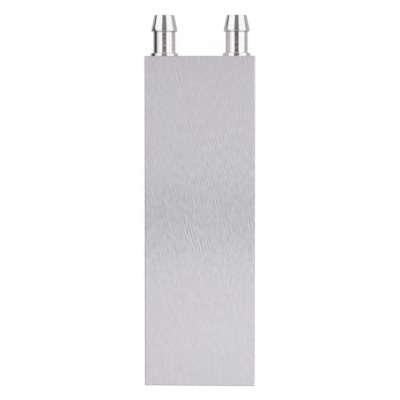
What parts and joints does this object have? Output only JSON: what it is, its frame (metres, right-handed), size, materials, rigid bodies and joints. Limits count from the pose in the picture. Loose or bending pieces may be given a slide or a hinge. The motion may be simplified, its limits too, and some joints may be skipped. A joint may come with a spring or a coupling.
{
  "type": "liquid cooling cold plate",
  "caption": "Flat finned aluminium block that carries heat from a chip or module into water, with hose barbs for inlet and outlet side by side on one short end.",
  "frame": {"origin": "centre of the lower cooling face of the body, nozzles left out", "axes": "+Z through the thickness, from the lower to the upper cooling face; +Y along the length, towards the nozzles; +X across, from the inlet to the outlet"},
  "size_m": [0.04, 0.135, 0.012],
  "materials": {
    "brushed_extrusion": "brushed aslant on both broad faces",
    "machined_cap": "machined",
    "ground_weld": "ground flush",
    "polished_nozzle": "turned and polished"
  },
  "bodies": {
    "root": {"channel_body": "brushed_extrusion", "nozzle_end_cap": "machined_cap", "return_end_cap": "machined_cap", "nozzle_end_seam": "ground_weld", "return_end_seam": "ground_weld", "inlet_nozzle": "polished_nozzle", "outlet_nozzle": "polished_nozzle"}
  },
  "joints": []
}
